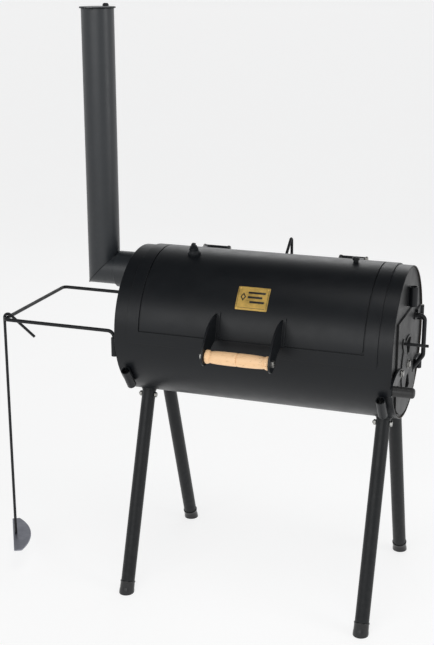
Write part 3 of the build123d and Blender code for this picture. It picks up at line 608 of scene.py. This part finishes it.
def thread(mesh, base, way, radius, length, pitch=0.0015, depth=0.0007):
    """The threaded end of a shank, running from base along way, with a helix and a turned tip."""
    segments = 24
    way = way.normalized()
    side = way.orthogonal().normalized()
    top = way.cross(side)
    steps = max(8, int(length / pitch * 6))
    rings = []
    for i in range(steps + 1):
        along = length * i / steps
        ring = []
        for k in range(segments):
            a = 2 * math.pi * k / segments
            phase = (along / pitch - k / segments) % 1.0
            cut = depth * (1 - abs(2 * phase - 1))
            size = min(radius - cut, radius - 0.001 + (length - along))
            ring.append(base + way * along + (side * math.cos(a) + top * math.sin(a)) * size)
        rings.append(ring)
    return settle(skin(mesh, rings))


def washer(mesh, base, way, radius, bore, height):
    edge = height * 0.25
    profile = [(0, bore), (0, radius - edge), (edge, radius), (height - edge, radius),
               (height, radius - edge), (height, bore)]
    return lathe(profile, base, way, 48, mesh, closed=True)


def dress(name, edge):
    """A CAD node's own shape, with its flat faces joined and its edges rounded."""
    mesh = bmesh.new()
    mesh.from_mesh(nodes[name].data)
    bmesh.ops.remove_doubles(mesh, verts=mesh.verts, dist=2e-6)
    bmesh.ops.dissolve_limit(mesh, angle_limit=math.radians(0.4), verts=mesh.verts, edges=mesh.edges)
    return piece(f"{name}_finished", mesh, nodes[name]["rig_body"], slot_of[name], (name,), edge,
                 sharp=math.radians(32))


# ---- Barrel ----


def barrel():
    """The rolled shell with its cooking opening, a grid of cells round the axis."""
    start, end = lid_back + lid_overlap / shell_r, lid_front - lid_overlap / shell_r
    open_steps, closed_steps = 64, 160
    inside = [start + (end - start) * k / open_steps for k in range(open_steps)]
    outside = [end + (start + 2 * math.pi - end) * k / closed_steps for k in range(closed_steps)]
    angles = inside + outside
    stations = [left_end, lid_low.x + lid_overlap, lid_high.x - lid_overlap, right_end]
    mesh = bmesh.new()
    layers = [[[mesh.verts.new(on_barrel(x, a, r)) for a in angles] for x in stations]
              for r in (inner_r, shell_r)]
    count = len(angles)

    def open_cell(column, k):
        return column == 1 and k % count < len(inside)

    for column in range(3):
        for k in range(count):
            if open_cell(column, k):
                continue
            j = (k + 1) % count
            corners = [(column, k), (column + 1, k), (column + 1, j), (column, j)]
            for layer in layers:
                mesh.faces.new([layer[c][a] for c, a in corners])
            walls = []
            if column == 0 or open_cell(column - 1, k):
                walls.append((corners[3], corners[0]))
            if column == 2 or open_cell(column + 1, k):
                walls.append((corners[1], corners[2]))
            if open_cell(column, k - 1):
                walls.append((corners[0], corners[1]))
            if open_cell(column, k + 1):
                walls.append((corners[2], corners[3]))
            for (c0, a0), (c1, a1) in walls:
                mesh.faces.new([layers[0][c0][a0], layers[0][c1][a1], layers[1][c1][a1], layers[1][c0][a0]])
    weigh(piece("barrel_shell_finished", settle(mesh), "root", "satin_black", ("barrel_shell",), 0.0015,
                sooty))


def lid_and_frame():
    """The lid and the strip frame are flat plates bent round the barrel."""
    socket = middle("thermometer_socket")
    socket_turn = math.atan2(socket.z - axis.z, socket.y - axis.y)
    outline = rounded_rectangle(lid_low.x, lid_back * lid_r, lid_high.x, lid_front * lid_r, lid_corner)
    hole = round_loop(socket.x, socket_turn * lid_r, plug_hole_r)
    lid = wrap(plate([outline, hole], lid_thickness, 0.001), lid_r)
    weigh(piece("lid_skin", lid, "lid", "satin_black", ("lid_panel",), finish=sooty))
    frame_low, frame_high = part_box("lid_frame")
    window_start = lid_back - back_gap / skin_r
    window_end = lid_front + frame_gap / skin_r
    around = frame_width / skin_r
    outer = rounded_rectangle(frame_low.x, (window_start - around) * shell_r, frame_high.x,
                              (window_end + around) * shell_r, frame_corner)
    inner = rounded_rectangle(lid_low.x - frame_gap, window_start * shell_r, lid_high.x + frame_gap,
                              window_end * shell_r, 0.001, 2)
    strips = wrap(plate([outer, inner], skin_r - shell_r, 0.0007), shell_r)
    weigh(piece("lid_frame_strips", strips, "root", "satin_black", ("lid_frame",)))


# ---- Name plate ----


def name_plate():
    """A curved brass plate with a sunk enamel border, plain bars and a lozenge, and four domed rivets."""
    low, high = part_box("name_plate")
    start = math.atan2(high.z - axis.z, high.y - axis.y)
    end = math.atan2(low.z - axis.z, low.y - axis.y)
    s0, s1 = start * skin_r, end * skin_r
    outline = rounded_rectangle(low.x, s0, high.x, s1, plate_corner)
    blank = wrap(plate([outline], plate_thickness, 0.0003), skin_r)
    weigh(piece("name_plate_blank", blank, "lid", "plate_brass", ("name_plate",)))
    marks = bmesh.new()
    skin_top = skin_r + plate_thickness
    x0, x1 = low.x, high.x
    wide, tall = x1 - x0, s1 - s0
    border = [rounded_rectangle(x0 + inset, s0 + inset, x1 - inset, s1 - inset, corner)
              for inset, corner in ((0.0022, 0.0018), (0.0031, 0.0012))]
    shapes = [border]
    bars = ((0.34, 0.88), (0.34, 0.8), (0.42, 0.88))        # ends, as shares of the plate's width
    first_bar, bar_pitch, bar_height = 0.26, 0.2, 0.09      # shares of its height
    for row, (left, right) in enumerate(bars):
        top = s0 + tall * (first_bar + bar_pitch * row)
        shapes.append([rounded_rectangle(x0 + wide * left, top, x0 + wide * right, top + tall * bar_height,
                                         0.001)])
    centre_x, centre_s = x0 + wide * 0.2, s0 + tall * 0.5
    half_wide, half_tall, line = 0.0075, 0.0115, 0.55
    lozenge = [[(centre_x + half_wide * share, centre_s), (centre_x, centre_s + half_tall * share),
                 (centre_x - half_wide * share, centre_s), (centre_x, centre_s - half_tall * share)]
                for share in (1, line)]
    shapes.append(lozenge)
    mark_height, mark_edge = 0.00022, 0.00005
    for loops in shapes:
        part = wrap(plate(loops, mark_height, mark_edge), skin_top)
        shape = bpy.data.meshes.new("mark")
        part.to_mesh(shape)
        part.free()
        marks.from_mesh(shape)
        bpy.data.meshes.remove(shape)
    piece("name_plate_marks", marks, "lid", "plate_brass", finish=enamel)
    rivets = bmesh.new()
    rivet_inset = 0.005
    dome = [(0, 0.0024), (0.0006, 0.0022), (0.001, 0.0016), (0.0013, 0.0008), (0.0013, 0)]
    for x in (x0 + rivet_inset, x1 - rivet_inset):
        for turn in (start + rivet_inset / skin_r, end - rivet_inset / skin_r):
            foot = on_barrel(x, turn, skin_top)
            lathe(dome, foot, from_axis(foot), 20, rivets)
    piece("name_plate_rivets", rivets, "lid", "plate_brass", ("plate_rivets",))


# ---- Handle ----


def handle():
    """A turned grip, with a groove at its middle and one near each end, and the bolt through it."""
    grip_low, grip_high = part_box("handle_grip")
    centre = (grip_low + grip_high) / 2
    half = (grip_high.x - grip_low.x) / 2
    wide = (grip_high.z - grip_low.z) / 2 - 0.0006
    groove = ((0, -0.0022), (0.0007, -0.0012), (0.0018, -0.0005), (0.0035, -0.0002))
    half_profile = [(along, wide + change) for along, change in groove]
    half_profile += [(half * k, wide - 0.0016 * (k * 1.25) ** 4) for k in (0.15, 0.3, 0.45, 0.6, 0.72)]
    turned_end = ((0.0158, -0.0019), (0.0144, -0.003), (0.0128, -0.0031), (0.0114, -0.0014), (0.009, -0.0002),
                  (0.006, 0.0004), (0.0035, 0.0005), (0.0014, -0.0002), (0.0003, -0.0014), (0, -0.003))
    half_profile += [(half - inset, wide + change) for inset, change in turned_end]
    half_profile += [(half, 0.0085), (half - 0.001, 0.0075), (half - 0.001, 0.0055)]
    profile = [(-along, radius) for along, radius in reversed(half_profile[1:])] + half_profile
    grip = lathe(profile, centre, Vector((1, 0, 0)), 96)
    piece("handle_grip_turned", grip, "lid", "beech", ("handle_grip",))
    thread_r, nut_bore = 0.0048, 0.0046
    bolt_low, bolt_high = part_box("handle_bolt")
    hardware = bmesh.new()
    right, left = Vector((1, 0, 0)), Vector((-1, 0, 0))
    face_right = Vector((bolt_high.x - head_10, centre.y, centre.z))
    face_left = Vector((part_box("handle_bracket_left")[0].x, centre.y, centre.z))
    hex_solid(hardware, face_right, right, hex_10, head_10)
    hex_solid(hardware, face_left, left, hex_10, nut_10, bore=nut_bore)
    thread(hardware, face_left, left, thread_r, face_left.x - bolt_low.x)
    piece("handle_bolt_and_nut", hardware, "lid", "zinc", ("handle_bolt",))


# ---- Hinge bolts, leg bolts and door pivots ----


def hinge_bolts():
    bolts, nuts = bmesh.new(), bmesh.new()
    low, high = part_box("lid_hinge_bolts")
    nut_low, nut_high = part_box("lid_hinge_nuts")
    for side in (-1, 1):
        way = Vector((side, 0, 0))
        head_x = high.x - head_10 if side > 0 else low.x + head_10
        nut_x = nut_high.x if side > 0 else nut_low.x
        hex_solid(bolts, Vector((head_x, hinge_line.y, hinge_line.z)), way, hex_10, head_10)
        behind = Vector((nut_x, hinge_line.y, hinge_line.z))
        hex_solid(nuts, behind, -way, hex_10, nut_10, bore=thread_10 - thread_play)
        thread(bolts, behind, -way, thread_10, 0.0098)
    piece("lid_hinge_bolts_finished", bolts, "root", "zinc", ("lid_hinge_bolts",))
    piece("lid_hinge_nuts_finished", nuts, "root", "satin_black", ("lid_hinge_nuts",))


def legs():
    """Four tubes on welded stubs, each with a cross bolt and a moulded cap."""
    bolts, nuts = bmesh.new(), bmesh.new()
    for end in ("front", "rear"):
        for side in ("left", "right"):
            ground = Vector(mounts[f"foot_{end}_{side}"]["pos_m"])
            root = Vector((ground.x, axis.y, axis.z))
            way = (ground - root).normalized()
            length = (ground - root).length
            top = shell_r + leg_gap
            leg_end = length - foot_floor
            bore = leg_r - leg_wall
            profile = [(top, bore), (top, leg_r - 0.0005), (top + 0.0005, leg_r), (leg_end, leg_r),
                       (leg_end, bore)]
            tube = lathe(profile, root, way, 64, closed=True)
            piece(f"leg_{end}_{side}_tube", tube, "root", "leg_paint", (f"leg_{end}_{side}",))
            foot_cap(f"foot_cap_{end}_{side}", root, way, length)
            place_on_leg = root + way * (top + leg_bolt_drop)
            right = Vector((1, 0, 0))
            hex_solid(bolts, place_on_leg + right * (leg_r + 0.0002), right, hex_8, head_8)
            hex_solid(nuts, place_on_leg - right * (leg_r + 0.0002), -right, hex_8, nut_8,
                      bore=thread_8 - thread_play)
            thread(bolts, place_on_leg - right * (leg_r - 0.001), -right, thread_8, 0.0105, 0.00125, 0.0006)
    piece("leg_bolts_finished", bolts, "root", "zinc", ("leg_bolts",))
    piece("leg_nuts_finished", nuts, "root", "zinc", ("leg_nuts",))


def foot_cap(name, root, way, length):
    """A moulded cap: a rolled lip, a slight waist, and a sole cut flat on the ground."""
    top = length - foot_height
    below, play = 0.03, 0.0001
    lip = ((0, -0.0012), (0.0006, -0.0003), (0.0016, 0), (0.0036, 0), (0.0046, -0.0006), (0.0062, -0.0009))
    profile = [(top, leg_r + play)] + [(top + along, foot_r + change) for along, change in lip]
    profile += [(length - 0.012, foot_r - 0.0007), (length - 0.008, foot_r), (length + below, foot_r),
                (length + below, 0)]
    floor = length - foot_floor - play
    inner = [(floor, 0), (floor, leg_r + play)]
    mesh = lathe(inner + profile, root, way, 64)
    everything = mesh.verts[:] + mesh.edges[:] + mesh.faces[:]
    cut = bmesh.ops.bisect_plane(mesh, geom=everything, plane_co=(0, 0, 0), plane_no=(0, 0, -1),
                                 clear_outer=True)
    rim = [item for item in cut["geom_cut"] if isinstance(item, bmesh.types.BMEdge)]
    bmesh.ops.edgeloop_fill(mesh, edges=rim)
    piece(f"{name}_moulded", settle(mesh), "root", "foot_plastic", (name,), 0.0006)


def door_pivots():
    """The bolts that the damper and the latch turn on, with washers outside and nuts behind the door."""
    bolts, nuts = bmesh.new(), bmesh.new()
    right = Vector((1, 0, 0))
    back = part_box("fire_door")[0].x
    pivot_play, washer_height, low_head, thin_nut = 0.0004, 0.0018, 0.0045, 0.007
    for joint, node, washer_r, flats in (("damper_turn", "damper_disc", 0.012, hex_10),
                                         ("latch_lift", "latch_lever", 0.01, 0.015)):
        turn = Vector(joints[joint]["pos_m"])
        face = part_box(node)[1].x + pivot_play
        washer(bolts, Vector((face, turn.y, turn.z)), right, washer_r, thread_10, washer_height)
        hex_solid(bolts, Vector((face + washer_height, turn.y, turn.z)), right, flats, low_head)
        behind = Vector((back, turn.y, turn.z))
        hex_solid(nuts, behind, -right, hex_10, thin_nut, bore=thread_10 - thread_play)
        thread(bolts, behind, -right, thread_10, 0.009)
    piece("door_bolts_finished", bolts, "door", "zinc", ("door_bolts",))
    piece("door_nuts_finished", nuts, "door", "zinc", ("door_nuts",))


# ---- Chimney ----


def mitred_pipe(centre, x_way, up, radius, wall, far):
    """A pipe whose near end is cut at 45 degrees through centre, sloping up towards x_way."""
    segments = 96
    lip = 0.0006
    rings = [[], [], [], []]
    for k in range(segments):
        a = 2 * math.pi * k / segments
        ray = x_way * math.cos(a) + Vector((0, 1, 0)) * math.sin(a)
        rings[0].append(centre + (ray + up * math.cos(a)) * (radius - wall))
        rings[1].append(centre + (ray + up * math.cos(a)) * radius)
        rings[2].append(centre + ray * radius + up * (far - lip))
        rings[3].append(centre + ray * (radius - lip) + up * far)
    rings.append([centre + (point - centre - up * far) * ((radius - wall) / (radius - lip)) + up * far
                  for point in rings[3]])
    return settle(skin(bmesh.new(), rings, closed_rings=True, cap=False))


def chimney():
    """A collar, an elbow and an upright pipe, the last two mitred and welded round."""
    up, left, right = Vector((0, 0, 1)), Vector((-1, 0, 0)), Vector((1, 0, 0))
    upright = mitred_pipe(flue, right, up, flue_r, flue_wall, pipe_high.z - flue.z)
    weigh(piece("chimney_pipe_finished", upright, "root", "satin_black", ("chimney_pipe",), 0, flue_paint_painted_sheen))
    elbow_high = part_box("chimney_elbow")[1].x
    across = mitred_pipe(flue, up, right, flue_r, flue_wall, elbow_high - flue.x)
    weigh(piece("chimney_elbow_finished", across, "root", "satin_black", ("chimney_elbow",), 0, flue_paint_painted_sheen))
    length = collar_high.x - collar_low.x
    bore = flue_r + 0.0003
    edge = 0.0012
    profile = [(0, bore), (0, collar_r), (length - edge, collar_r), (length, collar_r - edge), (length, bore)]
    start = Vector((left_end, flue.y, flue.z))
    collar = lathe(profile, start, left, 96, closed=True)
    weigh(piece("chimney_collar_finished", collar, "root", "satin_black", ("chimney_collar",), 0, flue_paint_painted_sheen))
    count = 400
    mitre = [flue + Vector((flue_r * math.cos(a), flue_r * math.sin(a), flue_r * math.cos(a)))
             for a in (2 * math.pi * k / count for k in range(count))]
    beads = bmesh.new()
    bead(beads, mitre, 0.0014, lambda here: here - flue, closed=True)
    bead(beads, circle(start + left * 0.0004, Vector((0, 1, 0)), up, collar_r + 0.0004), 0.0024,
         lambda here: (here - start).normalized() + left, closed=True)
    piece("chimney_welds", beads, "root", "satin_black")


# ---- Rods ----


def rods():
    """The bent side rail, and the rake's rod with its hook over the rail."""
    low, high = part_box("side_rail")
    foot_x, far_x = high.x - rail_r, low.x + rail_r
    near_y, far_y = low.y + rail_r, high.y - rail_r
    level = high.z - rail_r
    corners = [(foot_x, near_y, low.z), (foot_x, near_y, level), (far_x, near_y, level),
               (far_x, far_y, level), (foot_x, far_y, level), (foot_x, far_y, low.z)]
    bends = (rail_bend, rail_corner, rail_corner, rail_bend)
    path = rounded_path([Vector(corner) for corner in corners], bends)
    piece("side_rail_bent", rod(path, rail_r, 24), "rail", "rod_paint", ("side_rail",))
    rake_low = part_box("rake_rod")[0]
    inward = Vector((math.cos(rake_turn), math.sin(rake_turn), 0))
    up = Vector((0, 0, 1))
    hook_y = rake_low.y + rake_r + rake_bend * math.sin(rake_turn)
    centre = Vector((far_x, hook_y, level))
    foot = centre - inward * rake_bend
    foot.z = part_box("rake_blade")[1].z
    hook = []
    hook_turn, hook_steps = 135, 18
    for k in range(hook_steps + 1):
        a = math.radians(180 - hook_turn * k / hook_steps)
        hook.append(centre + (inward * math.cos(a) + up * math.sin(a)) * rake_bend)
    slope = (inward - up).normalized()
    path = [foot] + hook + [hook[-1] + slope * rake_tip]
    piece("rake_rod_bent", rod(path, rake_r, 20), "rake", "rod_paint", ("rake_rod",))


# ---- Welds ----


def root_welds():
    """Beads round the end plate and the legs' stubs, and along the sockets."""
    sink = 0.0004               # how far inside the plate's edge its bead runs
    beads = bmesh.new()
    saddle_steps = 150
    up = Vector((0, 0, 1))
    plate_centre = Vector((plate_high.x, axis.y, axis.z))
    bead(beads, circle(plate_centre, Vector((0, 1, 0)), up, inner_r - sink), 0.0019,
         lambda here: Vector((1, 0, 0)) - from_axis(here), closed=True)
    for end in ("front", "rear"):
        for side in ("left", "right"):
            ground = Vector(mounts[f"foot_{end}_{side}"]["pos_m"])
            root = Vector((ground.x, axis.y, axis.z))
            way = (ground - root).normalized()
            across = way.cross(Vector((1, 0, 0))).normalized()
            saddle = []
            for k in range(saddle_steps):
                a = 2 * math.pi * k / saddle_steps
                off = stub_collar_r * math.sin(a)
                along = Vector((stub_collar_r * math.cos(a), 0, 0))
                depth = math.sqrt(shell_r ** 2 - off ** 2) + 0.0002
                saddle.append(root + way * depth + across * off + along)
            bead(beads, saddle, 0.0022, from_axis, closed=True)
    tube_side = 0.0052
    for name in ("shelf_socket_left", "shelf_socket_right"):
        centre = Vector(mounts[name]["pos_m"])
        way = Vector(mounts[name]["axis"])
        inward = from_axis(centre) * -1
        for side in (-1, 1):
            foot = centre + inward * 0.0112 + Vector((side * tube_side, 0, 0))
            bead(beads, spaced(foot - way * 0.014, foot + way * 0.014), 0.0018, inward * -1)
    low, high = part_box("rail_sockets")
    socket_r, short = 0.0085, 0.006
    for y in (low.y + socket_r, high.y - socket_r):
        for side in (-1, 1):
            start = Vector((left_end - 0.0006, y + side * tube_side, low.z + short))
            end = start + up * (high.z - low.z - 2 * short)
            bead(beads, spaced(start, end), 0.0016, Vector((-1, 0, 0)))
    low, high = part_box("accessory_socket")
    pad_side, short = 0.0074, 0.002
    for side in (-1, 1):
        start = Vector((low.x + 0.0006, (low.y + high.y) / 2 + side * pad_side, low.z + short))
        end = start + up * (high.z - low.z - 2 * short)
        bead(beads, spaced(start, end), 0.0015, Vector((1, side, 0)))
    piece("root_welds", beads, "root", "satin_black")


def lid_welds():
    """A bead down the left side of each handle bracket."""
    beads = bmesh.new()
    start, end = (math.radians(a) for a in bracket_weld)
    count = int((end - start) * skin_r / bead_step)
    for name in ("handle_bracket_left", "handle_bracket_right"):
        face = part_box(name)[0].x
        arc = [on_barrel(face - 0.0003, start + (end - start) * k / count, skin_r + 0.0004)
               for k in range(count + 1)]
        bead(beads, arc, 0.002, from_axis)
    piece("lid_welds", beads, "lid", "satin_black")


# ---- Studio ----


# Each lamp's place from the target, its width, its height and its power
lamps = {
    "top_light": ((0.5, -0.9, 3.4), 2.0, 1.6, 26),
    "right_light": ((3.4, -0.5, 1.0), 1.6, 2.4, 25),
    "front_light": ((-0.5, -3.6, 1.2), 3.2, 1.6, 34),
    "back_light": ((0.0, 3.4, 1.5), 3.4, 1.0, 18),
}
floor_reach = 2000
camera_place = (0.9305, -3.0405, 1.7064)                    # from the barrel's axis, and above the ground
camera_yaw, camera_pitch, camera_roll = 19.67, 16.75, -0.07  # degrees, the pitch downward
camera_lens = 67.8


def studio():
    """A pale floor and sky, and four soft lamps aimed at the barrel."""
    floor = bmesh.new()
    bmesh.ops.create_grid(floor, x_segments=24, y_segments=24, size=floor_reach)
    data = bpy.data.meshes.new("floor")
    floor.to_mesh(data)
    floor.free()
    data.materials.append(floor_material("floor"))
    ground = bpy.data.objects.new("floor", data)
    bpy.context.scene.collection.objects.link(ground)
    bpy.context.scene.world = sky()
    bpy.context.scene.view_settings.view_transform = "Standard"
    target = Vector((axis.x, axis.y, 0.8))
    for name, (off, wide, high, power) in lamps.items():
        softbox(name, target + Vector(off), target, wide, high, power)


def sky():
    """Pale near the horizon and dark overhead."""
    made = bpy.data.worlds.new("studio")
    made.use_nodes = True
    tree = made.node_tree
    background = tree.nodes["Background"]
    background.inputs["Color"].default_value = (0.97, 0.985, 1.0, 1)
    way = new_node(tree, "ShaderNodeTexCoord").outputs["Generated"]
    height = new_node(tree, "ShaderNodeSeparateXYZ", {"Vector": way}).outputs["Z"]
    tree.links.new(spread(tree, height, 1.1, 0.04, 0.05, 0.85), background.inputs["Strength"])
    return made


def softbox(name, where, target, wide, high, power):
    lamp = bpy.data.lights.new(name, "AREA")
    lamp.shape = "RECTANGLE"
    lamp.size = wide
    lamp.size_y = high
    lamp.energy = power
    made = bpy.data.objects.new(name, lamp)
    made.location = where
    made.visible_camera = False
    made.rotation_euler = (target - where).to_track_quat("-Z", "Y").to_euler()
    bpy.context.scene.collection.objects.link(made)


def camera():
    """Looking a little down on the front, from the fire door's side."""
    view = bpy.data.cameras.new("camera")
    view.lens = camera_lens
    view.clip_end = 2.5 * floor_reach
    made = bpy.data.objects.new("camera", view)
    made.location = Vector((axis.x, axis.y, 0)) + Vector(camera_place)
    aim = Matrix.Rotation(math.radians(camera_yaw), 3, "Z")
    aim = aim @ Matrix.Rotation(math.radians(90 - camera_pitch), 3, "X")
    aim = aim @ Matrix.Rotation(math.radians(camera_roll), 3, "Z")
    made.rotation_euler = aim.to_euler()
    bpy.context.scene.collection.objects.link(made)
    bpy.context.scene.camera = made


# Nodes that keep the CAD's shape, and how far their edges are rounded
rounded_edges = {
    "left_end_cap": 0.0006, "right_end_plate": 0.0006, "grate_ledges": 0.0006, "lid_hinge_tubes": 0.0005,
    "lid_hinge_lugs": 0.0008, "lid_rest": 0.0006,
    "handle_bracket_left": 0.001, "handle_bracket_right": 0.001,
    "thermometer_socket": 0.0005, "thermometer_plug": 0.0004, "probe_port_plug": 0.0004, "fire_door": 0.0009,
    "door_hinge_blocks": 0.0006, "door_hinge_leaves": 0.0006, "door_hinge_pins": 0.0008,
    "door_handle": 0.0006,
    "latch_rest": 0.0007, "damper_disc": 0.0006, "damper_rod": 0.0005, "latch_lever": 0.0007,
    "latch_grip": 0.0005, "shelf_socket_left": 0.0006, "shelf_socket_right": 0.0006,
    "accessory_socket": 0.0006, "rail_sockets": 0.0006, "chimney_cap": 0.0007, "cap_lug": 0.0007,
    "cap_bolt": 0.0004, "rake_blade": 0.0008, "leg_stubs": 0.0005, "cooking_grate_left": 0.0006,
    "cooking_grate_right": 0.0006, "charcoal_grate": 0.0006,
}

camera()
studio()
barrel()
lid_and_frame()
name_plate()
handle()
hinge_bolts()
legs()
door_pivots()
chimney()
rods()
root_welds()
lid_welds()
for name, edge in rounded_edges.items():
    weigh(dress(name, edge))
